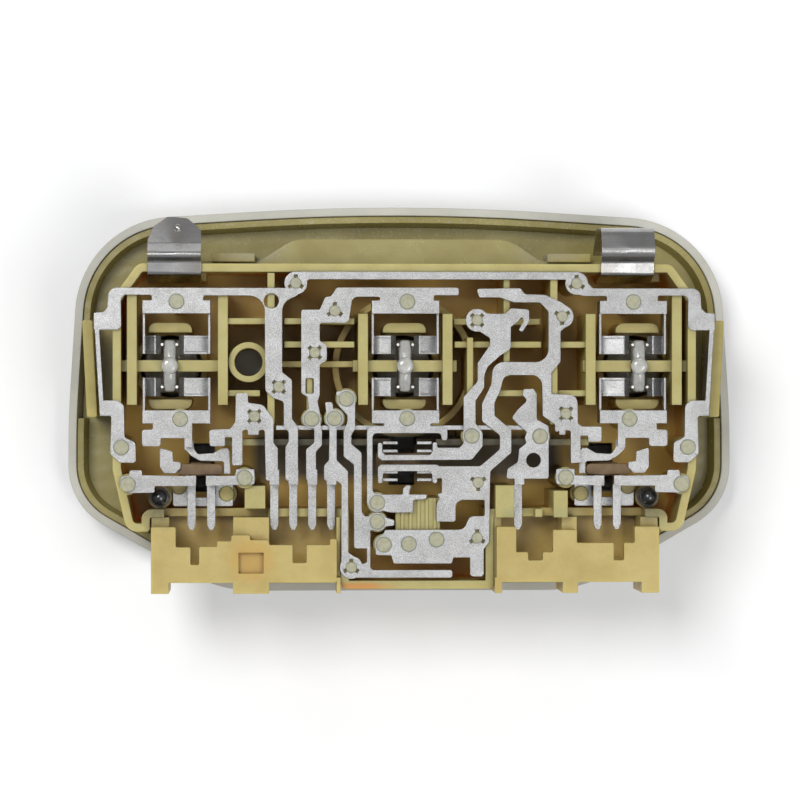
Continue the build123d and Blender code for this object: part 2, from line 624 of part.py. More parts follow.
def make_distribution_bar():
    """Largest bar: the right-hand conductor, the second switch contact and the low plate."""
    shape = bar([
        (13.9, 21.0), (22.0, 21.1, 0.5), (22.8, 20.0, 0.5), (26.5, 19.9, 0.8), (29.6, 18.5, 1.2),
        (31.5, 17.0, 0.8), (31.5, 14.9, 0.8), (29.4, 13.2, 0.6), (29.4, 7.6, 0.6), (27.7, 5.6, 0.6),
        (27.7, 1.6, 0.3), (32.5, 1.4, 1.5), (32.6, -3.8, 0.5), (33.4, -4.4, 0.3),
        (37.0, -4.4, 0.3), (37.0, -7.2, 0.6), (34.5, -7.2, 0.3), (34.5, -6.1, 0.2), (33.1, -6.1, 0.2),
        (33.1, -11.0, 0.3), (31.3, -11.2, 0.3), (31.3, -5.2, 0.3), (30.3, -5.0, 0.2),
        (30.3, -5.9, 0.2), (29.2, -5.9, 0.2), (29.2, -5.2, 0.2), (28.4, -5.4, 0.3), (28.4, -4.0, 0.5),
        (26.1, -2.4, 0.6), (26.0, 5.1, 2.0), (18.9, 5.1, 2.0), (18.3, 2.4, 1.2), (17.2, 0.0, 1.2),
        (17.2, -2.4, 0.6), (20.3, -5.0, 0.6), (20.3, -9.2, 0.8), (16.4, -12.6, 0.8),
        (16.2, -25.6, 0.8), (15.2, -27.0, 0.6), (15.2, -32.0, 0.6), (12.7, -32.0, 0.6),
        (12.7, -28.5, 0.2), (9.6, -28.5, 0.2), (9.3, -29.6), (-1.4, -29.6), (-1.8, -28.1, 0.2),
        (-4.7, -28.0, 0.3), (-4.7, -25.2, 0.8), (-3.2, -24.0, 0.5), (-3.0, -23.4, 0.3),
        (11.6, -23.4, 1.6), (12.6, -20.9, 1.2), (15.4, -20.9, 0.3), (15.4, -17.9),
        (10.0, -17.9, 1.4), (10.0, -21.9, 0.5), (6.5, -21.9, 0.3), (6.5, -18.9), (7.0, -17.6, 0.3),
        (6.7, -16.8, 0.1), (7.5, -16.6, 0.2), (7.5, -13.9, 0.3), (6.6, -13.9, 0.2),
        (6.6, -14.8, 0.3), (5.8, -14.8, 0.3), (5.7, -13.2, 0.3), (5.2, -12.6, 0.3),
        (-3.0, -12.6, 0.3), (-3.4, -13.2, 0.3), (-3.5, -14.8, 0.3), (-4.3, -14.8, 0.3),
        (-4.3, -11.9, 0.4), (-3.8, -11.4, 0.3), (6.6, -11.4, 0.2), (6.9, -11.7, 0.2),
        (14.6, -11.7, 1.0), (18.2, -8.6, 0.8), (18.2, -6.0, 0.6), (14.9, -3.4, 0.6),
        (14.9, -0.2, 1.2), (16.6, 3.3, 1.0), (17.0, 7.5, 2.8), (27.2, 7.5, 2.4),
        (27.2, 16.8, 1.0), (25.6, 18.5, 0.8), (20.8, 18.5), (18.2, 19.4), (14.4, 19.4, 0.3),
    ])
    return fix_bar("distribution_bar", shape)


def make_single_pin_bar():
    shape = bar([
        (22.6, 2.5, 0.3), (24.4, 2.6, 0.5), (25.0, 1.6), (25.0, -3.1, 0.5), (27.2, -4.3, 0.6),
        (27.2, -14.0), (19.4, -14.0), (19.6, -12.2, 0.6), (21.5, -11.0, 0.6), (21.8, -8.5),
        (23.1, -7.5), (22.8, -6.5, 0.3), (23.2, -5.4, 0.3), (21.6, -4.0, 0.5), (20.4, -2.8, 0.5),
        (21.4, -1.4, 0.5), (23.3, 0.4, 0.5), (22.4, 1.4, 0.3),
    ])
    x, y = spot(24.4, -10.6)
    place = pin_places("one_way")[0]
    shape += pin_neck(place, pin_root, 2.0) + pin(place, pin_root)
    shape = fix_bar("single_pin_bar", shape)
    return shape - post(x, y, 1.35, circuit_z - 1, circuit_top + 1)


def make_ground_bar():
    shape = bar([
        (-30.4, 1.7, 0.5), (-28.2, 1.8, 0.3), (-28.2, 0.0), (-25.4, -0.4, 1.2), (-23.5, -3.0, 1.0),
        (-23.5, -7.4), (-22.7, -8.4), (-22.7, -14.3), (-24.9, -14.3), (-25.1, -5.0), (-26.2, -5.0),
        (-26.2, -5.9, 0.2), (-28.2, -5.9, 0.2), (-28.2, -5.0, 0.2), (-29.2, -5.0, 0.3),
        (-29.2, -11.5), (-31.1, -11.5), (-31.1, -6.3, 0.3), (-32.4, -6.3, 0.2), (-32.4, -8.0),
        (-35.2, -8.0), (-35.3, -5.0, 0.5), (-31.4, -4.8, 0.6), (-30.5, -3.6, 0.5),
    ])
    first = pin_places("four_way")[0]
    shape += pin_neck(first, pin_root, 2.0) + pin(first, pin_root)
    return fix_bar("ground_bar", shape)


def make_reading_return():
    """Lower contact of a reading lamp, with the spring leg that its switch closes (left)."""
    shape = bar([
        (-45.8, -1.5, 0.3), (-36.2, -1.5, 0.3), (-36.2, -3.6, 0.3), (-38.4, -3.7, 0.2),
        (-38.4, -8.2, 0.3), (-39.8, -8.2, 0.2), (-39.8, -6.5, 0.2), (-44.2, -6.5, 0.3),
        (-44.2, -8.0, 0.5), (-47.6, -8.0, 0.5), (-47.6, -5.0, 0.5), (-45.6, -4.9, 0.3),
        (-45.6, -3.8, 0.2),
    ])
    x, y = spot(*low_stake)
    shape += lamp_contact(-side_x, lamp_line, -1, -bulb_x)
    return shape - post(x, y, stake_radius, circuit_z - 1, circuit_top + 1)


leaf_z = circuit_z - 1.6


def make_switch_leaf():
    """Curved spring leaf beside the reading switch, one step below the bars (left)."""
    face = drawn([
        (-39.9, -6.9, 0.2), (-38.3, -6.9, 0.2), (-38.1, -8.6, 0.6), (-37.4, -9.5, 0.6),
        (-34.5, -9.3, 0.5), (-33.0, -8.4), (-31.9, -8.4, 0.3), (-31.6, -9.0, 0.3),
        (-31.4, -13.1, 0.2), (-32.6, -13.1, 0.2), (-32.6, -10.8), (-37.0, -10.7, 1.0),
        (-38.6, -9.8, 1.0), (-39.9, -8.5, 0.5),
    ])
    x, y = spot(-39.1, -7.2)
    riser = block(x - 0.6, x + 0.6, y - 0.4, y + 0.4, leaf_z + finger_sheet, circuit_z)
    return plate(face, leaf_z, finger_sheet) + riser


def make_switch_blade():
    """Fixed blade that the reading switch presses on (left)."""
    face = drawn([
        (-44.4, -8.3, 0.3), (-42.1, -9.0, 0.3), (-42.0, -10.8, 0.3), (-40.6, -11.0, 0.3),
        (-40.6, -12.0), (-41.6, -13.0, 0.3), (-43.6, -13.0, 0.3), (-44.4, -11.8, 0.5),
    ])
    x, y = spot(-43.6, -10.4)
    foot = block(x - 0.6, x + 0.6, y - 1.6, y + 1.6, circuit_z - 5.0, leaf_z)
    return plate(face, leaf_z, finger_sheet) + foot


def pin_bar_outer(stake):
    """Outer bar of a two-way bay (left)."""
    place = pin_places("two_way_left")[0]
    shape = bar([
        (-49.9, -12.4), (-47.6, -12.4, 0.3), (-47.6, -13.3, 0.2), (-37.9, -13.5, 0.2),
        (-37.9, -15.3, 0.2), (-45.3, -15.3, 0.2), (-45.3, -16.5), (-50.2, -16.6, 1.5),
        (-51.8, -15.0, 1.5), (-51.4, -13.5, 1.0), (-49.9, -13.4, 0.2),
    ])
    x, y = spot(*stake)
    shape += pin_neck(place, pin_root, 0.9) + pin(place, pin_root)
    return shape - post(x, y, stake_radius, circuit_z - 1, circuit_top + 1)


def pin_bar_inner(stake):
    """Inner bar of a two-way bay (left)."""
    place = pin_places("two_way_left")[1]
    shape = bar([
        (-35.9, -13.5, 0.2), (-30.4, -13.4, 0.2), (-30.4, -12.2, 0.3), (-27.0, -12.2, 0.3),
        (-27.0, -15.0), (-35.9, -15.3, 0.2),
    ])
    x, y = spot(*stake)
    shape += pin_neck(place, pin_root, 0.9) + pin(place, pin_root)
    return shape - post(x, y, stake_radius, circuit_z - 1, circuit_top + 1)


outer_stake = (-50.2, -15.0)
inner_stake = (-28.8, -13.8)
contact_z = circuit_z - 6.4
contact_stakes = [(-41.0, -15.6), (-32.2, -16.9)]


def make_bridge_plate():
    """Lower contact plate under the pins of a two-way bay (left)."""
    face = drawn([
        (-41.8, -14.2), (-39.4, -14.2), (-39.4, -17.6, 0.6), (-34.2, -17.6, 0.6), (-34.2, -14.6),
        (-31.0, -14.6), (-31.0, -19.2), (-42.1, -19.2), (-42.1, -14.8),
    ])
    shape = plate(face, contact_z, sheet)
    for place in contact_stakes:
        x, y = spot(*place)
        shape -= post(x, y, stake_radius, contact_z - 1, contact_z + 2)
    return shape


def make_rail():
    """Shiny jumper rail on edge under the bars, from one side of the circuit to the other."""
    x0, y0 = spot(-23.0, -4.2)
    x1, y1 = spot(23.0, -4.2)
    return block(x0, x1, y0 - sheet, y0, circuit_z - 4.0, circuit_z - 0.5)


bars = {
    "supply_bar": make_supply_bar(),
    "centre_feed_bar": make_centre_feed_bar(),
    "frame_bar": make_frame_bar(),
    "switch_input_bar": make_switch_input_bar(),
    "switch_output_bar": make_switch_output_bar(),
    "distribution_bar": make_distribution_bar(),
    "single_pin_bar": make_single_pin_bar(),
    "ground_bar": make_ground_bar(),
    "jumper_rail": make_rail(),
}
sided = {
    "lamp_return": make_reading_return(),
    "switch_leaf": make_switch_leaf(),
    "switch_blade": make_switch_blade(),
    "pin_bar_outer": pin_bar_outer(outer_stake),
    "pin_bar_inner": pin_bar_inner(inner_stake),
    "bridge_plate": make_bridge_plate(),
}
for name, shape in bars.items():
    save(name, shape)
for name, shape in sided.items():
    save(name + "_left", shape)
    save(name + "_right", flipped(shape))


# ======================================================================================
# circuit carrier
# ======================================================================================

leg_left = -11.9 * wide          # middle leg of the carrier, between the plug bays
leg_right = 16.3 * wide
leg_low = -35.0 * tall
bay_back = -21.8 * tall          # the plug bays start here
corner_low = -24.4 * tall
led_place = (-45.3 * wide, -18.2 * tall)
block_end = bays["two_way_left"][0] - bays["two_way_left"][1] / 2 - 3.2   # end of a plug block


def carrier_outline(inset):
    top = 24.9 * tall
    side = panel_width / 2 - 9.5
    corner_x = -51.2 * wide
    shelf_x = block_end - 0.3
    left = [
        (leg_left, leg_low, 1.0), (leg_left, bay_back, 0), (shelf_x, bay_back, 0.3),
        (shelf_x, corner_low, 0.6), (corner_x, corner_low, 3.4), (-side, -13.0 * tall, 2.0),
        (-side, 18.5 * tall, 2.0), (-49.2 * wide, top, 2.0),
    ]
    right = [(-x, y, radius) for x, y, radius in reversed(left[2:])]
    right += [(leg_right, bay_back, 0), (leg_right, leg_low, 1.0)]
    face = rounded_face(left + right)
    return offset(face, -inset, kind=Kind.INTERSECTION) if inset else face


def drawn_block(x0, y0, x1, y1, z0, z1):
    """Box between two places of the circuit drawing."""
    ax, ay = spot(x0, y0)
    bx, by = spot(x1, y1)
    return block(ax, bx, ay, by, z0, z1)


def stake_post(x, y, radius, top, headed):
    """Post that carries a bar, with the pin that goes through it."""
    shape = post(x, y, radius + 0.8, floor_z, top)
    shape += post(x, y, radius - 0.03, top, top + sheet + 0.2)
    if headed:
        dome = post(x, y, head_radius, top + sheet, top + sheet + head_height)
        shape += chamfer(dome.edges().group_by(Axis.Z)[-1], 0.2)
    return shape


def all_stakes():
    """Every post of the carrier: place, radius, height and whether it is headed."""
    found = []
    for places in stakes.values():
        found += [(spot(x, y), stake_radius, circuit_z, True) for x, y in places]
    for places in stars.values():
        found += [(spot(x, y), star_radius, circuit_z, False) for x, y, slots, turn in places]
    left = [lamp_stake, low_stake, outer_stake, inner_stake]
    found += [(spot(x, y), stake_radius, circuit_z, True) for x, y in left]
    found += [(spot(x, y), stake_radius, contact_z, True) for x, y in contact_stakes]
    copied = found[-len(left) - len(contact_stakes):]
    right = [((-x, y), radius, z, headed) for (x, y), radius, z, headed in copied]
    x, y = spot(*stakes["supply_bar"][0])
    return found + right + [((-x, y), stake_radius, circuit_z, True)]


cell_walls = {
    # side: distance beyond the contact pads and height above the line of the bulbs
    "left": {-1: (1.1, 13.6), 1: (1.4, 13.6)},
    "centre": {-1: (0.7, 9.6), 1: (0.7, 9.6)},
    "right": {-1: (0.7, 9.6), 1: (1.1, 13.6)},
}
cell_arms = {"left": (10.7, 9.0), "centre": (9.6, 9.6), "right": (9.0, 10.7)}
cell_low = -7.2
arm_z = circuit_z - 2.5
lip_width = 8.0
lip_near = 6.2                   # lips above and below a bulb, from its axis
lip_far = 8.0
bowl_radius = 13.3               # reflector bowl round the middle bulb


def lamp_cell(name):
    """Socket ring, side walls, lips and cross arm round one bulb."""
    x, bulb = pad_places[name], bulb_places[name]
    cell = post(bulb, lamp_line, bulb_hole + 1.1, floor_z - 1, floor_z + 7.0)
    for side, (beyond, high) in cell_walls[name].items():
        near = x + side * (pad_reach + beyond)
        far = near + side * cell_wall
        cell += block(min(near, far), max(near, far), lamp_line + cell_low, lamp_line + high,
                      floor_z - 1, circuit_z - 0.3)
    lip = block(bulb - lip_width / 2, bulb + lip_width / 2, lamp_line - lip_far,
                lamp_line + lip_far, floor_z - 1, circuit_z - 4.4)
    lip = fillet(lip.edges().filter_by(Axis.Z), 1.4)
    lip -= block(bulb - 9, bulb + 9, lamp_line - lip_near, lamp_line + lip_near, 0, 50)
    cell += lip
    arm_half = finger_reach - finger_width / 2 - 1.15
    left, right = cell_arms[name]
    cell += block(x - left, x + right, lamp_line - arm_half, lamp_line + arm_half, arm_z - 5.0, arm_z)
    room = wedge_thickness / 2 + 0.3
    cell -= block(bulb - room, bulb + room, lamp_line - 5.6, lamp_line + 5.6, arm_z - 6.0, arm_z + 1)
    return cell - post(bulb, lamp_line, bulb_hole, 0, bulb_top - wedge_height - 0.5)


ribs = [
    # x0, y0, x1, y1 on the drawing, and how far the rib stays below the bars
    (-33.2, 14.5, -25.0, 15.6, 1.5), (-21.5, 14.5, -8.6, 15.6, 1.5),
    (-21.5, 10.2, -8.6, 11.3, 1.5), (-33.2, 1.2, -26.0, 2.3, 1.5), (-22.0, 6.6, -8.6, 7.7, 5.0),
    (10.0, 10.2, 26.0, 11.3, 1.5), (10.0, 14.5, 26.0, 15.6, 4.0), (27.5, 10.2, 35.4, 11.3, 1.5),
    (27.5, 1.2, 35.4, 2.3, 1.5), (18.0, 1.2, 24.0, 2.3, 1.5),
    (-24.6, -4.0, -23.3, 23.9, 0.0), (-17.4, -4.0, -16.3, 14.0, 0.0), (27.6, -4.0, 28.9, 23.9, 0.0),
    (19.0, 4.9, 20.1, 23.9, 0.6), (12.2, -4.0, 13.3, 12.0, 0.0), (-33.4, -7.9, 34.9, -6.7, 2.3),
    (-47.0, 22.6, -36.0, 24.4, 6.3), (37.6, 22.6, 48.6, 24.4, 6.3),
    (-28.8, -21.1, -25.0, -15.3, 0.8), (17.3, -21.1, 20.7, -15.2, -deck),
    (28.0, -21.1, 30.6, -16.2, -deck),
]
pedestal = (-1.0, -23.6, 7.2, -17.6)         # ribbed block inside the middle leg
screw_boss = (-28.1, 7.5)
sunken_room = (12.5, 6.6)                    # inward and outward of a reading switch
pin_passage = 3.0                            # half the width of the single pin's passage


def make_carrier():
    shape = Pos(0, 0, tub_top) * extrude(carrier_outline(0), floor_thickness)
    rim = extrude(carrier_outline(0), circuit_z - floor_z) - extrude(carrier_outline(wall), 40)
    shape += Pos(0, 0, floor_z) * rim
    for x0, y0, x1, y1, drop in ribs:
        shape += drawn_block(x0, y0, x1, y1, floor_z - 0.5, circuit_z - drop)
    bowl = post(0, lamp_line, bowl_radius, floor_z - 0.5, floor_z + 9.0)
    shape += bowl - post(0, lamp_line, bowl_radius - 1.2, floor_z - 1, floor_z + 10.0)
    for name in pad_places:
        shape -= block(bulb_places[name] - 6.0, bulb_places[name] + 6.0, lamp_line - 7.0,
                       lamp_line + 7.0, floor_z, circuit_z + 1)
        shape += lamp_cell(name)
        shape -= post(bulb_places[name], lamp_line, bulb_hole, 0, floor_z + 8.0)
    x0, y0, x1, y1 = pedestal
    shape += drawn_block(x0, y0, x1, y1, floor_z - 0.5, circuit_z - 0.6)
    for i in range(5):
        x = x0 + 1.0 + i * 1.5
        shape += drawn_block(x, y0, x + 0.5, y1, circuit_z - 0.7, circuit_z - 0.2)
    for (x, y), radius, top, headed in all_stakes():
        shape += stake_post(x, y, radius, top, headed)
    x, y = spot(*screw_boss)
    shape += post(x, y, boss_bore + boss_wall, floor_z - 0.5, circuit_z - 2.0)
    shape -= post(x, y, boss_bore, 0, circuit_z)
    shape += post(led_place[0], led_place[1], 2.2, floor_z - 0.5, led_base)
    shape += post(-led_place[0], led_place[1], 2.2, floor_z - 0.5, led_base)
    # room for the rail, the pins, the rockers and the sunken contact plates
    shape -= drawn_block(-23.2, -5.3, 23.2, -4.1, circuit_z - 4.0, circuit_z + 1)
    for reach in (-1, 1):
        low = block(reading_x - sunken_room[0], reading_x + sunken_room[1], bay_back - 1,
                    bay_back + wall + 0.1, contact_z - 0.2, circuit_z + 2)
        shape -= low if reach > 0 else flipped(low)
    passages = [(bays["four_way"][0], bays["four_way"][1] / 2 + 0.6),
                (pin_places("one_way")[0], pin_passage)]
    for middle, half in passages:
        shape -= block(middle - half, middle + half, bay_back - 1, bay_back + wall + 0.1,
                       pin_z - 0.6, circuit_z + 2)
    half = contact_head[0] / 2 + 0.6
    swing = stem_depth / 2 + head_swing
    shape -= block(-half, half, centre_y - swing, centre_y + swing,
                   head_top - contact_head[2] - 0.8, circuit_z + 2)
    return shape - rocker_shafts(0, circuit_z + 2)


led_radius = 1.5
led_base = circuit_z - 5.0


def make_led():
    """Small dark lamp that lights the switch markings (left)."""
    x, y = led_place
    body = post(x, y, led_radius + 0.3, led_base, led_base + 0.8)
    body += post(x, y, led_radius, led_base, led_base + 2.4)
    dome = Pos(x, y, led_base + 2.4) * Sphere(led_radius)
    return body + (dome & block(x - 3, x + 3, y - 3, y + 3, led_base + 2.0, led_base + 9))


# ======================================================================================
# plug bays
# ======================================================================================

left_deck = [
    (-46.0, -33.0), (-46.0, -22.8), (-41.4, -22.8), (-41.4, -26.5), (-38.7, -26.5), (-38.7, -29.7),
    (-37.1, -29.7), (-37.1, -26.4), (-33.8, -26.4), (-33.8, -25.4), (-31.2, -25.4), (-31.2, -24.3),
    (-27.8, -24.3), (-27.8, -25.2), (-24.3, -25.2), (-24.3, -26.1), (-20.0, -26.1), (-20.0, -29.4),
    (-17.4, -29.4), (-17.4, -26.1), (-13.1, -26.1), (-13.1, -25.0), (-11.9, -25.0), (-11.9, -33.0),
]
right_deck = [
    (17.5, -33.0), (17.5, -22.8), (21.1, -22.8), (21.1, -27.5), (23.3, -27.5), (23.3, -29.0),
    (26.0, -29.0), (26.0, -27.5), (27.9, -27.5), (27.9, -23.4), (32.3, -23.4), (32.3, -25.8),
    (39.1, -25.8), (39.1, -29.0), (41.0, -29.0), (41.0, -25.8), (43.0, -25.8), (43.0, -22.8),
    (47.5, -22.8), (47.5, -33.0),
]


def make_plug_block(names, x_out, x_in, deck_outline, latch):
    """One moulding with two plug bays. x_out is its end near the panel's side."""
    base = bay_floor - bay_wall
    top = circuit_z + deck
    low_x, high_x = min(x_out, x_in), max(x_out, x_in)
    roof = plate(drawn(deck_outline, 0.3), circuit_z - 1.0, deck + 1.0)
    shape = block(low_x, high_x, mouth_y, bay_back, base, circuit_z - 0.2)
    shape += roof & block(low_x, high_x, mouth_y, bay_back, base, top)
    edges = [low_x, high_x]
    for name in names:
        middle, width = bays[name][:2]
        edges += [middle - width / 2, middle + width / 2]
        shape -= block(middle - width / 2, middle + width / 2, mouth_y - 1, bay_back + 1,
                       bay_floor, circuit_z)
    edges.sort()
    for left, right in zip(edges[::2], edges[1::2]):
        shape += block(left, right, mouth_y - bay_post, mouth_y + 1, base, top)
    if latch:
        middle = (edges[2] + edges[3]) / 2
        shape -= block(middle - latch_width / 2, middle + latch_width / 2,
                       mouth_y + 1.8, mouth_y + 5.6, top - latch_depth, top + 1)
    return shape


# ======================================================================================
# bulbs
# ======================================================================================

def make_bulb(x):
    """Hollow glass of a wedge-base bulb, standing on its tip."""
    z_top = bulb_top
    z_tip = z_top - bulb_length
    z_neck = z_top - wedge_height
    r = bulb_radius
    glass = 0.6
    neck = 3.4

    def envelope(radius, tip, shoulder, narrow, end):
        side = [
            Line((0, tip), (0, end)), Line((0, end), (narrow, end)),
            Line((narrow, end), (radius, shoulder)), Line((radius, shoulder), (radius, tip + radius)),
            ThreePointArc((radius, tip + radius),
                          (radius * sin(pi / 4), tip + radius - radius * cos(pi / 4)), (0, tip)),
        ]
        return revolve(Plane.XZ * make_face(side), Axis.Z)

    outer = envelope(r, z_tip, z_neck - 2.5, neck, z_neck + 0.2)
    inner = envelope(r - glass, z_tip + glass, z_neck - 2.9, neck - 1.4, z_neck - 1.0)
    wedge = Box(wedge_thickness, wedge_width, wedge_height)
    wedge = fillet(wedge.edges().filter_by(Axis.Z), 0.5)
    wedge = Pos(0, 0, z_top - wedge_height / 2) * wedge
    nose = Pos(0, 0, z_top - 0.7) * Cylinder(1.7, 1.4)
    return Pos(x, lamp_line, 0) * (outer + wedge + nose - inner)


def make_bulb_wires(x):
    """Folded lead wires on the wedge, and the filament on its two supports."""
    z_top = bulb_top
    z_neck = z_top - wedge_height
    off = wedge_thickness / 2 + wire_radius
    group = []
    for side in (-1, 1):
        y = lamp_line + side * finger_reach
        for face in (-1, 1):
            group.append(post(x + face * off, y, wire_radius, z_top - 6.0, z_top - 0.2))
        inside = post(x, lamp_line + side * 1.6, 0.2, z_neck - 9.0, z_neck - 1.05)
        group.append(inside)
    filament = Pos(x, lamp_line, z_neck - 9.2) * Rot(90, 0, 0) * Cylinder(0.35, 4.4)
    return Compound(group + [filament])


# ======================================================================================
# rocker switches
# ======================================================================================

def make_rocker(x, y, cap, stem_top, head):
    """Rocker: cap at the front, trunnions in the middle and a stem up to the contacts."""
    half_w, half_d = cap[0] / 2, cap[1] / 2
    plate_top = cap_front + 2.6
    face = block(x - half_w, x + half_w, y - half_d, y + half_d, cap_front, plate_top)
    face = fillet(face.edges().filter_by(Axis.Z), 1.2)
    face = chamfer(face.faces().sort_by(Axis.Z)[0].edges(), 0.4)
    hub = block(x - half_w, x + half_w, y - 2.0, y + 2.0, plate_top - 0.2, rocker_pivot_z + 1.6)
    stem = block(x - stem_width / 2, x + stem_width / 2, y - stem_depth / 2, y + stem_depth / 2,
                 rocker_pivot_z, stem_top)
    shaft = Pos(x, y, rocker_pivot_z) * Rot(0, 90, 0)
    shaft = shaft * Cylinder(trunnion_radius, 2 * (half_w + trunnion_length + 0.2))
    return face + hub + stem + shaft + head


def make_reading_rocker():
    head = block(-reading_x - 4.2, -reading_x + 4.2, reading_y - 1.0, reading_y + 1.0,
                 leaf_z - 2.6, leaf_z - 0.3)
    head = fillet(head.edges().filter_by(Axis.Z), 0.9)
    return make_rocker(-reading_x, reading_y, reading_cap, leaf_z - 1.0, head)


def make_centre_rocker():
    length, depth, height = contact_head
    head = block(-length / 2, length / 2, centre_y - depth / 2, centre_y + depth / 2,
                 head_top - height, head_top)
    return make_rocker(0, centre_y, centre_cap, head_top - 0.5, head)


def make_contact_bridge():
    """The two sprung contact blades that the centre rocker carries."""
    blades = []
    for x in (-2.9, 2.9):
        blades.append(block(x - 1.3, x + 1.3, centre_y - 1.2, centre_y - 0.8,
                            head_top, head_top + 3.2))
        blades.append(block(x - 1.3, x + 1.3, centre_y + 0.8, centre_y + 1.2,
                            head_top, head_top + 3.2))
    return Compound(blades)


def make_contact_tabs():
    """Contact tabs under the two slotted frames of the centre switch."""
    tabs = []
    for x in (-2.0, 4.3):
        px = spot(x, 0)[0]
        for y in (-7.4, -8.9, -12.8, -14.2):
            py = spot(0, y)[1]
            tabs.append(block(px - 1.35, px + 1.35, py - 0.25, py + 0.25, circuit_z - 2.0, circuit_z))
    return Compound(tabs)


# ======================================================================================
# spring clips
# ======================================================================================

def strip_face(path, thickness):
    """Side view of a bent strip that follows a path of (y, z, bend radius)."""
    one, other = [], []
    for i, (y, z, radius) in enumerate(path):
        before = path[max(i - 1, 0)]
        after = path[min(i + 1, len(path) - 1)]
        first = (y - before[0], z - before[1]) if i else (after[0] - y, after[1] - z)
        second = (after[0] - y, after[1] - z) if i < len(path) - 1 else first
        la, lb = hypot(*first), hypot(*second)
        na = (-first[1] / la, first[0] / la)
        nb = (-second[1] / lb, second[0] / lb)
        middle = (na[0] + nb[0], na[1] + nb[1])
        scale = thickness / (1 + na[0] * nb[0] + na[1] * nb[1])
        turns_left = first[0] * second[1] - first[1] * second[0] > 0
        one.append((y, z, radius if not turns_left else radius + thickness))
        other.append((y + middle[0] * scale, z + middle[1] * scale,
                      radius + thickness if not turns_left else radius))
    return rounded_face(one + other[::-1])


def clip_body(path, x):
    face = Plane.YZ * strip_face(path, clip_sheet)
    return Pos(x - clip_width / 2, 0, 0) * extrude(face, clip_width)


clip_wall = 24.9 * tall          # outside of the carrier's clip-side wall


def clip_root():
    """The stretch of both clips that saddles the carrier's wall."""
    inside = clip_wall - wall - 2 * gap
    return [(inside - clip_toe, circuit_z - 6.0, 0), (inside, circuit_z + gap, 0.4),
            (clip_wall + 0.6, circuit_z + gap + 0.4, 0.6)]


def make_clip_sprung():
    """Clip in its working shape: it arches out and comes back down beside the wall."""
    y = clip_wall
    path = clip_root() + [(y + 2.2, circuit_z + 2.6, 1.8), (y + 6.2, circuit_z + 0.8, 2.2),
                          (y + 6.4, circuit_z - 8.0, 3.0), (y + 2.2, circuit_z - 14.0, 0)]
    return clip_body(path, clip_right_x * wide)


def make_clip_opened():
    """Clip whose free arm has been bent up flat, with its pointed end showing."""
    y = clip_wall
    path = clip_root() + [(y + 1.6, circuit_z + 1.9, 1.5), (y + 3.4, circuit_z - 0.6, 0.5),
                          (y + 8.6, circuit_z - 2.6, 0)]
    body = clip_body(path, -clip_left_x * wide)
    x = -clip_left_x * wide
    half = clip_width / 2
    end = y + 8.6
    keep = rounded_face([
        (x - half, y - 9, 0), (x + half, y - 9, 0), (x + half, end - 2.4, 0.4), (x + 2.4, end - 0.2, 1.0),
        (x - 1.2, end + 0.2, 1.0), (x - half + 1.0, end - 1.8, 0.4), (x - half, y + 4.4, 0.4),
    ])
    dimple = Pos(x + 0.6, end - 2.0, circuit_z - 1.6) * Sphere(0.8)
    return (body & plate(keep, 0, 60)) + (dimple & plate(keep, circuit_z - 2.2, 20))


save("circuit_carrier", make_carrier())
save("plug_bays_left", make_plug_block(
    ("two_way_left", "four_way"), block_end, leg_left - gap, left_deck, True))
save("plug_bays_right", make_plug_block(
    ("two_way_right", "one_way"), -block_end, leg_right + gap, right_deck, False))
for name, x in bulb_places.items():
    save("bulb_" + name, make_bulb(x))
    save("bulb_wires_" + name, make_bulb_wires(x))
save("reading_rocker_left", make_reading_rocker())
save("reading_rocker_right", flipped(make_reading_rocker()))
save("centre_rocker", make_centre_rocker())
save("contact_bridge", make_contact_bridge())
save("contact_tabs", make_contact_tabs())
save("marking_led_left", make_led())
save("marking_led_right", flipped(make_led()))
save("clip_opened", make_clip_opened())
save("clip_sprung", make_clip_sprung())
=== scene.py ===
"""Looks, light and camera for the interior roof lamp circuit panel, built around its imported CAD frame."""

import json
import math

import bmesh
import bpy
from mathutils import Matrix, Vector


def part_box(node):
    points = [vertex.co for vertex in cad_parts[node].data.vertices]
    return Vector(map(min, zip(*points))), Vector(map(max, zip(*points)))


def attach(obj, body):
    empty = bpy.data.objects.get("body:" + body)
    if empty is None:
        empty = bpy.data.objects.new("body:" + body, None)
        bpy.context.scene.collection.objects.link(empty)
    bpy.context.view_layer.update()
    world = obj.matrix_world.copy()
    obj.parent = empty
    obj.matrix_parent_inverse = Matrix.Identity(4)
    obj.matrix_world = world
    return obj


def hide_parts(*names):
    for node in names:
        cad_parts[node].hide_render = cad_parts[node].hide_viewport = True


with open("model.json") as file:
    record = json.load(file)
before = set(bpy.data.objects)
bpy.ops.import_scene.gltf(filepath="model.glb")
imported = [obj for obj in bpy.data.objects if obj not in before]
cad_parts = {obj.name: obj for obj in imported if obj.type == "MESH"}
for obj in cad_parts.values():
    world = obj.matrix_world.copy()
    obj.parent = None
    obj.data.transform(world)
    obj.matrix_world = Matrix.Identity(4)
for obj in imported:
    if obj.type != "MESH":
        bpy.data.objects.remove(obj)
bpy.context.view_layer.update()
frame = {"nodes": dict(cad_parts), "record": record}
nodes = frame["nodes"]
MM = 0.001
CIRCUIT_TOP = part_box("supply_bar")[1].z

# ---------------------------------------------------------------- camera

CAMERA_HEIGHT = 575 * MM          # above the stamped circuit
CAMERA_SIDE = -24 * MM
AIM = Vector((-1.0 * MM, -0.2 * MM, CIRCUIT_TOP - 0.8 * MM))
FRAME_WIDTH = 147.3 * MM          # what the image shows across at the circuit's height


def look_from(place, aim, up):
    back = (place - aim).normalized()
    right = up.cross(back).normalized()
    top = back.cross(right)
    turn = Matrix((right, top, back)).transposed().to_4x4()
    return Matrix.Translation(place) @ turn


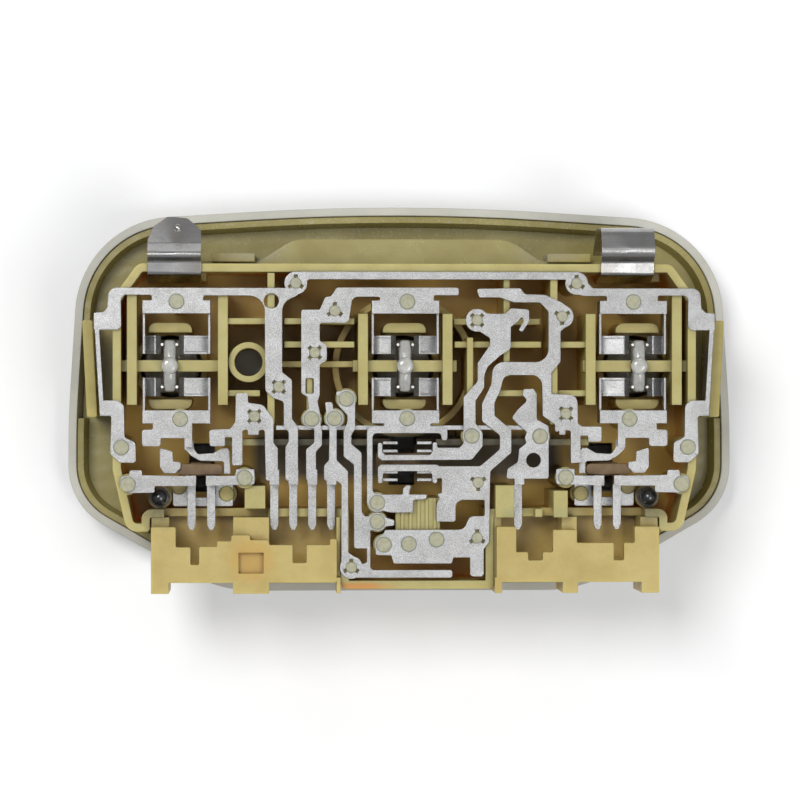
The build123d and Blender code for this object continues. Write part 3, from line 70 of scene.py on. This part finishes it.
camera_data = bpy.data.cameras.new("camera")
camera_data.sensor_width = 36
camera_data.lens = 36 * CAMERA_HEIGHT / FRAME_WIDTH
camera_data.clip_start = 0.01
camera = bpy.data.objects.new("camera", camera_data)
bpy.context.scene.collection.objects.link(camera)
camera.matrix_world = look_from(AIM + Vector((CAMERA_SIDE, 0, CAMERA_HEIGHT)), AIM, Vector((0, 1, 0)))
bpy.context.scene.camera = camera

# ---------------------------------------------------------------- material helpers


class Look:
    """A node material under construction; sizes are in millimetres."""

    def __init__(self, name, **constants):
        self.material = bpy.data.materials.new(name)
        self.material.use_nodes = True
        self.tree = self.material.node_tree
        self.tree.nodes.clear()
        self.shader = self.node("ShaderNodeBsdfPrincipled")
        out = self.node("ShaderNodeOutputMaterial")
        self.link(self.shader.outputs["BSDF"], out.inputs["Surface"])
        self.place = self.node("ShaderNodeTexCoord").outputs["Object"]
        for socket, value in constants.items():
            self.shader.inputs[socket.replace("_", " ")].default_value = value

    def node(self, kind, **settings):
        made = self.tree.nodes.new(kind)
        for key, value in settings.items():
            setattr(made, key, value)
        return made

    def link(self, source, target):
        self.tree.links.new(source, target)

    def stretched(self, across):
        """Coordinates scaled so that one unit is `across` millimetres, per axis."""
        mapping = self.node("ShaderNodeMapping")
        mapping.inputs["Scale"].default_value = [1000 / size for size in across]
        self.link(self.place, mapping.inputs["Vector"])
        return mapping.outputs["Vector"]

    def noise(self, across, detail=3.0, roughness=0.55, distortion=0.0):
        texture = self.node("ShaderNodeTexNoise")
        texture.inputs["Scale"].default_value = 1.0
        texture.inputs["Detail"].default_value = detail
        texture.inputs["Roughness"].default_value = roughness
        texture.inputs["Distortion"].default_value = distortion
        size = across if isinstance(across, tuple) else (across,) * 3
        self.link(self.stretched(size), texture.inputs["Vector"])
        return texture.outputs["Fac"]

    def height(self, low, high):
        """0 at z = low, 1 at z = high."""
        split = self.node("ShaderNodeSeparateXYZ")
        self.link(self.place, split.inputs["Vector"])
        return self.remap(split.outputs["Z"], low * MM, high * MM, 0, 1)

    def near(self, x, y, core, edge):
        """1 within `core` millimetres of a vertical line, 0 beyond `edge`, with an uneven border."""
        flat = self.node("ShaderNodeVectorMath", operation="MULTIPLY")
        flat.inputs[1].default_value = (1, 1, 0)
        self.link(self.place, flat.inputs[0])
        far = self.node("ShaderNodeVectorMath", operation="DISTANCE")
        far.inputs[1].default_value = (x * MM, y * MM, 0)
        self.link(flat.outputs["Vector"], far.inputs[0])
        uneven = self.times(self.noise(1.2, 4, 0.7), 2.5 * MM)
        away = self.math("SUBTRACT", far.outputs["Value"], uneven)
        return self.remap(away, core * MM, edge * MM, 1, 0)

    def axis(self, letter, low, high):
        split = self.node("ShaderNodeSeparateXYZ")
        self.link(self.place, split.inputs["Vector"])
        return self.remap(split.outputs[letter], low * MM, high * MM, 0, 1)

    def remap(self, value, a, b, c, d):
        made = self.node("ShaderNodeMapRange")
        for key, number in (("From Min", a), ("From Max", b), ("To Min", c), ("To Max", d)):
            made.inputs[key].default_value = number
        self.link(value, made.inputs["Value"])
        return made.outputs["Result"]

    def ramp(self, value, stops):
        made = self.node("ShaderNodeValToRGB")
        line = made.color_ramp.elements
        while len(line) < len(stops):
            line.new(0.5)
        for element, (place, colour) in zip(line, stops):
            element.position = place
            element.color = (*colour, 1)
        self.link(value, made.inputs["Fac"])
        return made.outputs["Color"]

    def mix(self, amount, first, second, blend="MIX"):
        made = self.node("ShaderNodeMix", data_type="RGBA", blend_type=blend)
        for socket, value in (("Factor", amount), ("A", first), ("B", second)):
            target = [i for i in made.inputs if i.name == socket and i.enabled][0]
            if isinstance(value, (int, float)):
                target.default_value = value
            elif isinstance(value, tuple):
                target.default_value = (*value, 1)
            else:
                self.link(value, target)
        return [o for o in made.outputs if o.enabled][0]

    def math(self, operation, first, second):
        made = self.node("ShaderNodeMath", operation=operation)
        for socket, value in zip(made.inputs, (first, second)):
            if isinstance(value, (int, float)):
                socket.default_value = value
            else:
                self.link(value, socket)
        return made.outputs["Value"]

    def times(self, first, *others):
        """Product of values and numbers."""
        for other in others:
            first = self.math("MULTIPLY", first, other)
        return first

    def occlusion(self, reach):
        """1 in the open, towards 0 in creases and pockets."""
        made = self.node("ShaderNodeAmbientOcclusion", samples=8)
        made.inputs["Distance"].default_value = reach * MM
        return made.outputs["AO"]

    def bump(self, layers, edge=0.0):
        """Layers of (height value, depth in mm), over edges rounded by `edge` mm."""
        normal = None
        if edge:
            made = self.node("ShaderNodeBevel", samples=4)
            made.inputs["Radius"].default_value = edge * MM
            normal = made.outputs["Normal"]
        for value, depth in layers:
            made = self.node("ShaderNodeBump")
            made.inputs["Distance"].default_value = depth * MM
            self.link(value, made.inputs["Height"])
            if normal is not None:
                self.link(normal, made.inputs["Normal"])
            normal = made.outputs["Normal"]
        self.link(normal, self.shader.inputs["Normal"])

    def colour(self, value):
        self.link(value, self.shader.inputs["Base Color"])

    def rough(self, value, low, high):
        self.link(self.remap(value, 0.25, 0.75, low, high), self.shader.inputs["Roughness"])


def dress(material, name):
    data = nodes[name].data
    data.materials.clear()
    data.materials.append(material)


# ---------------------------------------------------------------- materials

def tinned_brass():
    look = Look("tinned_brass", Metallic=1.0)
    grain = look.noise(0.16, 4, 0.75)
    cloud = look.noise(4.5, 3, 0.6, 0.4)
    rolled = look.noise((7.0, 0.22, 1.0), 4, 0.7)
    greys = [(0.32, (0.17, 0.17, 0.165)), (0.5, (0.35, 0.35, 0.35)), (0.66, (0.53, 0.53, 0.53))]
    base = look.ramp(grain, greys)
    worn = look.ramp(cloud, [(0.35, (0.86, 0.855, 0.84)), (0.65, (1, 1, 1))])
    base = look.mix(1.0, base, worn, "MULTIPLY")
    tarnish = look.remap(look.noise(7, 5, 0.75, 1.0), 0.60, 0.78, 0.0, 0.35)
    look.colour(look.mix(tarnish, base, (0.46, 0.38, 0.26)))
    look.rough(cloud, 0.30, 0.42)
    look.bump([(grain, 0.02), (rolled, 0.008), (look.noise(2.4, 2), 0.06)], edge=0.14)
    return look.material


LED_PLACES = ((-45.3, -18.2), (45.3, -18.2))
SOOT = (0.03, 0.025, 0.012)


def yellowed(name, light, shaded_deep, low, high, crease_shade):
    """Old plastic, shading from the deep colour at z = low to the light colour at z = high as painted shade
    in the cells, with painted shade in the creases and soot round the marking lamps.
    """
    look = Look(name, IOR=1.5, Subsurface_Weight=0.55, Subsurface_Scale=0.004)
    look.shader.inputs["Subsurface Radius"].default_value = (1.0, 0.72, 0.22)
    # painted shade: the plastic is darker towards low z, standing in for shade down in the cells
    base = look.ramp(look.height(low, high), [(0.0, shaded_deep), (0.8, light), (1.0, light)])
    uneven = look.ramp(look.noise(6.0, 4, 0.6), [(0.3, (0.84, 0.80, 0.66)), (0.7, (1.0, 1.0, 1.0))])
    base = look.mix(1.0, base, uneven, "MULTIPLY")
    speck = look.ramp(look.noise(0.45, 2, 0.5), [(0.62, (1, 1, 1)), (0.76, (0.82, 0.72, 0.50))])
    base = look.mix(0.45, base, speck, "MULTIPLY")
    # painted shade: creases and pockets found by ambient occlusion are darkened towards brown
    painted_crease_shade = look.remap(look.occlusion(4.5), 0.25, 0.9, crease_shade, 0.0)
    base = look.mix(painted_crease_shade, base, (0.13, 0.075, 0.015))
    for x, y in LED_PLACES:
        base = look.mix(look.times(look.near(x, y, 1.0, 5.0), 0.75), base, SOOT)
    look.rough(look.noise(1.8, 4), 0.28, 0.5)
    look.bump([(look.noise(0.35, 3, 0.6), 0.02), (look.noise(5.0, 2), 0.12)], edge=0.25)
    return look, base


def carrier():
    """Yellowed moulding: amber cells whose floors are painted bright as light through the translucent walls,
    grey melted stake heads, a near-black trough under the switches.
    """
    look, base = yellowed("carrier_plastic", (0.44, 0.39, 0.155), (0.36, 0.29, 0.10), 14.0, 28.5, 0.22)
    # painted light: the cell floors, more so lower down, are brightened to orange, standing in for light
    # passing through the translucent walls
    glow_floor_mask = look.times(look.axis("X", -53.4, -52.6), look.axis("X", 53.4, 52.6), look.axis("Y", 24.5, 23.7))
    base = look.mix(look.times(glow_floor_mask, look.height(28.0, 15.0)), base, (0.60, 0.38, 0.07))
    # near-black below z 29.6 in the trough under the switches
    trough = look.times(look.axis("Y", -16.5, -14.0), look.axis("Y", -5.6, -7.2),
                        look.times(look.axis("X", -29, -27), look.axis("X", 31, 29)),
                        look.height(30.4, 29.6), 0.86)
    base = look.mix(trough, base, (0.020, 0.013, 0.006))
    heads = look.times(look.height(31.74, 31.82), look.height(32.5, 32.3))
    melted = look.ramp(look.noise(0.7, 3), [(0.3, (0.32, 0.30, 0.20)), (0.7, (0.42, 0.40, 0.28))])
    base = look.mix(heads, base, melted)
    scorched = look.times(look.near(-9.0, -35.0, 1.0, 7.0), look.axis("Y", -33.6, -34.2), 0.8)
    base = look.mix(scorched, base, (0.50, 0.20, 0.03))
    look.colour(base)
    return look.material


def bays():
    """Yellowed moulding with a warm stain in the latch recess."""
    look, base = yellowed("bay_plastic", (0.49, 0.395, 0.14), (0.45, 0.32, 0.09), 19.0, 32.0, 0.40)
    warm = look.near(-28.4, -29.6, 1.0, 4.0)
    look.colour(look.mix(look.times(warm, 0.55), base, (0.50, 0.27, 0.04)))
    return look.material


LENS_RIB_PITCH = 1.6              # millimetres


def lens():
    """Olive plastic with fine ribs and a frosted haze towards the clips."""
    look = Look("lens_plastic", IOR=1.49, Transmission_Weight=0.12)
    cloud = look.noise(14, 5, 0.6, 0.4)
    base = look.ramp(cloud, [(0.3, (0.27, 0.225, 0.065)), (0.7, (0.37, 0.32, 0.115))])
    frost = look.ramp(look.noise(0.5, 3, 0.7), [(0.55, (0, 0, 0)), (0.72, (1, 1, 1))])
    near_clips = look.axis("Y", 27, 33)
    haze = look.mix(1.0, frost, near_clips, "MULTIPLY")
    look.colour(look.mix(look.times(haze, 0.5), base, (0.58, 0.57, 0.50)))
    look.rough(cloud, 0.16, 0.34)
    ribs = look.node("ShaderNodeTexWave", wave_type="BANDS", bands_direction="Y")
    ribs.inputs["Scale"].default_value = 1000 / LENS_RIB_PITCH / 6.28
    look.link(look.place, ribs.inputs["Vector"])
    look.bump([(ribs.outputs["Fac"], 0.03), (look.noise(4, 3), 0.1)], edge=0.2)
    return look.material


def tub():
    """Clear moulding gone olive; its tall side walls are as yellow as the carrier."""
    look = Look("tub_plastic", IOR=1.49, Transmission_Weight=0.2)
    cloud = look.noise(8, 5, 0.6, 0.5)
    base = look.ramp(cloud, [(0.3, (0.33, 0.29, 0.12)), (0.7, (0.45, 0.41, 0.19))])
    yellow = look.ramp(look.noise(5, 4), [(0.3, (0.48, 0.39, 0.10)), (0.7, (0.60, 0.50, 0.17))])
    base = look.mix(look.height(11.0, 14.0), base, yellow)
    # painted shade: creases and pockets found by ambient occlusion are darkened towards brown
    base = look.mix(look.remap(look.occlusion(4.0), 0.3, 0.9, 0.45, 0.0), base, (0.14, 0.09, 0.02))
    # painted highlight: pale bars on the ledges beside the clips, near y = 26 mm
    ledge_highlight = look.math("ADD", look.near(-29, 28, 0, 7), look.near(29, 28, 0, 7))
    ledge_highlight = look.times(look.axis("Y", 25.5, 27.0), ledge_highlight, 0.5)
    base = look.mix(ledge_highlight, base, (0.42, 0.42, 0.36))
    look.colour(base)
    look.rough(cloud, 0.16, 0.32)
    look.bump([(look.noise(3, 4), 0.08), (look.noise(0.4, 2), 0.01)], edge=0.4)
    return look.material


def ring():
    look = Look("ring_plastic", IOR=1.5, Subsurface_Weight=0.1, Subsurface_Scale=0.001)
    cloud = look.noise(10, 4, 0.6)
    base = look.ramp(cloud, [(0.3, (0.43, 0.425, 0.37)), (0.7, (0.52, 0.515, 0.46))])
    # painted shade: creases found by ambient occlusion are darkened towards brown
    look.colour(look.mix(look.remap(look.occlusion(3.0), 0.3, 0.9, 0.35, 0.0), base, (0.22, 0.18, 0.09)))
    look.rough(cloud, 0.34, 0.5)
    look.bump([(look.noise(0.45, 3, 0.6), 0.035)], edge=0.3)
    return look.material


def rocker():
    look = Look("rocker_plastic", IOR=1.5)
    cap = look.ramp(look.noise(3, 4), [(0.3, (0.40, 0.39, 0.36)), (0.7, (0.48, 0.47, 0.44))])
    stem = look.ramp(look.noise(2, 4), [(0.3, (0.10, 0.055, 0.018)), (0.7, (0.17, 0.10, 0.035))])
    look.colour(look.mix(look.height(4.4, 4.8), cap, stem))
    look.rough(look.noise(1.2, 3), 0.32, 0.5)
    look.bump([(look.noise(0.35, 3, 0.6), 0.03)], edge=0.25)
    return look.material


def led_black():
    look = Look("led_black", IOR=1.5, Coat_Weight=0.4, Coat_Roughness=0.06)
    look.colour(look.ramp(look.noise(1.0, 4), [(0.3, (0.008, 0.008, 0.010)), (0.7, (0.03, 0.03, 0.034))]))
    look.rough(look.noise(0.7, 3), 0.12, 0.3)
    look.bump([(look.noise(0.6, 3), 0.03)], edge=0.2)
    return look.material


def spring_steel():
    look = Look("spring_steel", Metallic=1.0, Anisotropic=0.5)
    brushed = look.noise((14.0, 0.09, 0.09), 4, 0.7)
    cloud = look.noise(5.0, 3, 0.6, 0.5)
    base = look.ramp(brushed, [(0.3, (0.36, 0.355, 0.35)), (0.7, (0.47, 0.465, 0.46))])
    stain = look.ramp(cloud, [(0.45, (1, 1, 1)), (0.75, (0.80, 0.74, 0.64))])
    look.colour(look.mix(0.8, base, stain, "MULTIPLY"))
    look.rough(cloud, 0.22, 0.32)
    look.bump([(brushed, 0.003), (look.noise(3, 2), 0.03)], edge=0.15)
    return look.material


def glass():
    look = Look("bulb_glass", IOR=1.47, Transmission_Weight=0.6, Coat_Weight=0.6, Coat_Roughness=0.04)
    look.colour(look.ramp(look.noise(1.4, 4, 0.6), [(0.3, (0.72, 0.71, 0.64)), (0.7, (0.97, 0.97, 0.95))]))
    look.rough(look.noise(1.0, 3), 0.03, 0.14)
    look.bump([(look.noise(0.9, 3), 0.08)])
    return look.material


def wire():
    look = Look("bulb_wire", Metallic=1.0)
    look.colour(look.ramp(look.noise(0.8, 4), [(0.3, (0.50, 0.48, 0.44)), (0.7, (0.78, 0.76, 0.72))]))
    look.rough(look.noise(0.6, 3), 0.22, 0.4)
    look.bump([(look.noise(0.25, 3), 0.02)])
    return look.material


looks = {
    "tinned_brass": tinned_brass(), "carrier_plastic": carrier(), "bay_plastic": bays(),
    "lens_plastic": lens(), "tub_plastic": tub(), "ring_plastic": ring(), "rocker_plastic": rocker(),
    "led_black": led_black(), "spring_steel": spring_steel(), "bulb_glass": glass(), "bulb_wire": wire(),
}
for part in frame["record"]["subparts"]:
    dress(looks[part["material_slot"]], part["node"])

# ---------------------------------------------------------------- bulbs


RING_POINTS = 64
WEDGE_HEIGHT = 8.5 * MM
SHOULDER_DROP = 3.0 * MM          # from the neck down to the round part
WEDGE_HALF = (1.1 * MM, 4.75 * MM)
GLASS_WALL = 0.55 * MM
PINCH = ((3.2, 1.15), (1.4, 1.55), (0.7, 1.6), (0.25, 1.4), (0.05, 1.0), (0.0, 0.5))  # drop, radius


def squircle(rx, ry, power):
    """Points of an oval that turns into a rounded rectangle as power grows."""
    points = []
    for i in range(RING_POINTS):
        a = 2 * math.pi * i / RING_POINTS
        c, d = math.cos(a), math.sin(a)
        points.append((rx * math.copysign(abs(c) ** (2 / power), c),
                       ry * math.copysign(abs(d) ** (2 / power), d)))
    return points


def skin(mesh, rings, centre, flip=False):
    """Closes a stack of rings (z, rx, ry, power) into one surface."""
    rows = []
    for z, rx, ry, power in rings:
        points = squircle(rx, ry, power)
        rows.append([mesh.verts.new((centre.x + x, centre.y + y, z)) for x, y in points])
    for low, high in zip(rows, rows[1:]):
        for i in range(RING_POINTS):
            after = (i + 1) % RING_POINTS
            loop = [low[i], low[after], high[after], high[i]]
            mesh.faces.new(loop[::-1] if flip else loop)
    mesh.faces.new(rows[0] if flip else rows[0][::-1])
    mesh.faces.new(rows[-1][::-1] if flip else rows[-1])


def bulb_rings(tip, shoulder, neck, top, radius, wedge, thin=0.0):
    """Rings from the domed tip up to the flat wedge, or up to the neck inside the glass when thin is set."""
    rings = []
    r = radius - thin
    for i in range(1, 15):
        a = math.pi / 2 * i / 14
        rings.append((tip + thin + r * (1 - math.cos(a)), r * math.sin(a), r * math.sin(a), 2.0))
    rings.append((shoulder, r, r, 2.0))
    if thin:
        for i in range(1, 8):
            t = i / 7
            rings.append((shoulder + (neck - 1.2 * MM - shoulder) * t, r + (0.9 * MM - r) * t * t,
                          r + (2.2 * MM - r) * t * t, 2.0))
        return rings
    for i in range(1, 13):
        t = i / 12
        s = t * t * (3 - 2 * t)
        rings.append((shoulder + (neck - shoulder) * t, r + (wedge[0] - r) * s,
                      r + (wedge[1] - r) * s, 2 + 4 * s))
    for t in (0.06, 0.5, 0.94):
        rings.append((neck + (top - 1.2 * MM - neck) * t, wedge[0], wedge[1], 6.5))
    rings.append((top - 0.9 * MM, wedge[0] - 0.25 * MM, wedge[1] - 0.25 * MM, 5.0))
    return rings


def detailed_bulb(name):
    low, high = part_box(name)
    centre = (low + high) / 2
    radius = (high.x - low.x) / 2
    neck = high.z - WEDGE_HEIGHT
    shoulder = neck - SHOULDER_DROP
    mesh = bmesh.new()
    wedge = (WEDGE_HALF[0], min(WEDGE_HALF[1], radius))
    skin(mesh, bulb_rings(low.z, shoulder, neck, high.z, radius, wedge), centre)
    skin(mesh, bulb_rings(low.z, shoulder, neck, high.z, radius, wedge, GLASS_WALL), centre, flip=True)
    skin(mesh, [(high.z - drop * MM, r * MM, r * MM, 2.0) for drop, r in PINCH], centre)
    data = bpy.data.meshes.new(name + "_glass")
    mesh.to_mesh(data)
    mesh.free()
    for face in data.polygons:
        face.use_smooth = True
    made = bpy.data.objects.new(name + "_glass", data)
    bpy.context.scene.collection.objects.link(made)
    data.materials.append(looks["bulb_glass"])
    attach(made, "panel")
    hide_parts(name)


for side in ("left", "centre", "right"):
    detailed_bulb("bulb_" + side)

# ---------------------------------------------------------------- stage and light

floor_mesh = bpy.data.meshes.new("floor")
FLOOR_REACH = 1.5                 # metres each way
corners = [(x * FLOOR_REACH, y * FLOOR_REACH, 0) for x, y in ((-1, -1), (1, -1), (1, 1), (-1, 1))]
floor_mesh.from_pydata(corners, [], [(0, 1, 2, 3)])
floor = bpy.data.objects.new("floor", floor_mesh)
bpy.context.scene.collection.objects.link(floor)
paper = Look("paper_floor")
paper.colour(paper.ramp(paper.noise(40, 4), [(0.3, (0.86, 0.86, 0.86)), (0.7, (0.89, 0.89, 0.89))]))
paper.rough(paper.noise(8, 3), 0.75, 0.85)
floor_mesh.materials.append(paper.material)


def lamp(name, place, aim, size, watts, tint=(1, 1, 1)):
    data = bpy.data.lights.new(name, "AREA")
    data.shape = "RECTANGLE"
    data.size, data.size_y = size
    data.energy = watts
    data.color = tint
    made = bpy.data.objects.new(name, data)
    bpy.context.scene.collection.objects.link(made)
    made.matrix_world = look_from(Vector(place), Vector(aim), Vector((0.02, 1, 0.03)))


lamp("key", (-0.42, 0.40, 1.15), (0, 0, 0.02), (0.45, 0.45), 9.0)
lamp("fill", (0.50, -0.35, 1.10), (0, 0, 0.02), (0.5, 0.5), 5.5)
lamp("overhead", (0.05, 0.05, 1.3), (0, 0, 0), (0.9, 0.9), 1.3)

world = bpy.data.worlds.new("studio")
bpy.context.scene.world = world
world.use_nodes = True
world.node_tree.nodes["Background"].inputs["Color"].default_value = (0.95, 0.97, 1.0, 1)
world.node_tree.nodes["Background"].inputs["Strength"].default_value = 0.36
bpy.context.scene.view_settings.view_transform = "Standard"
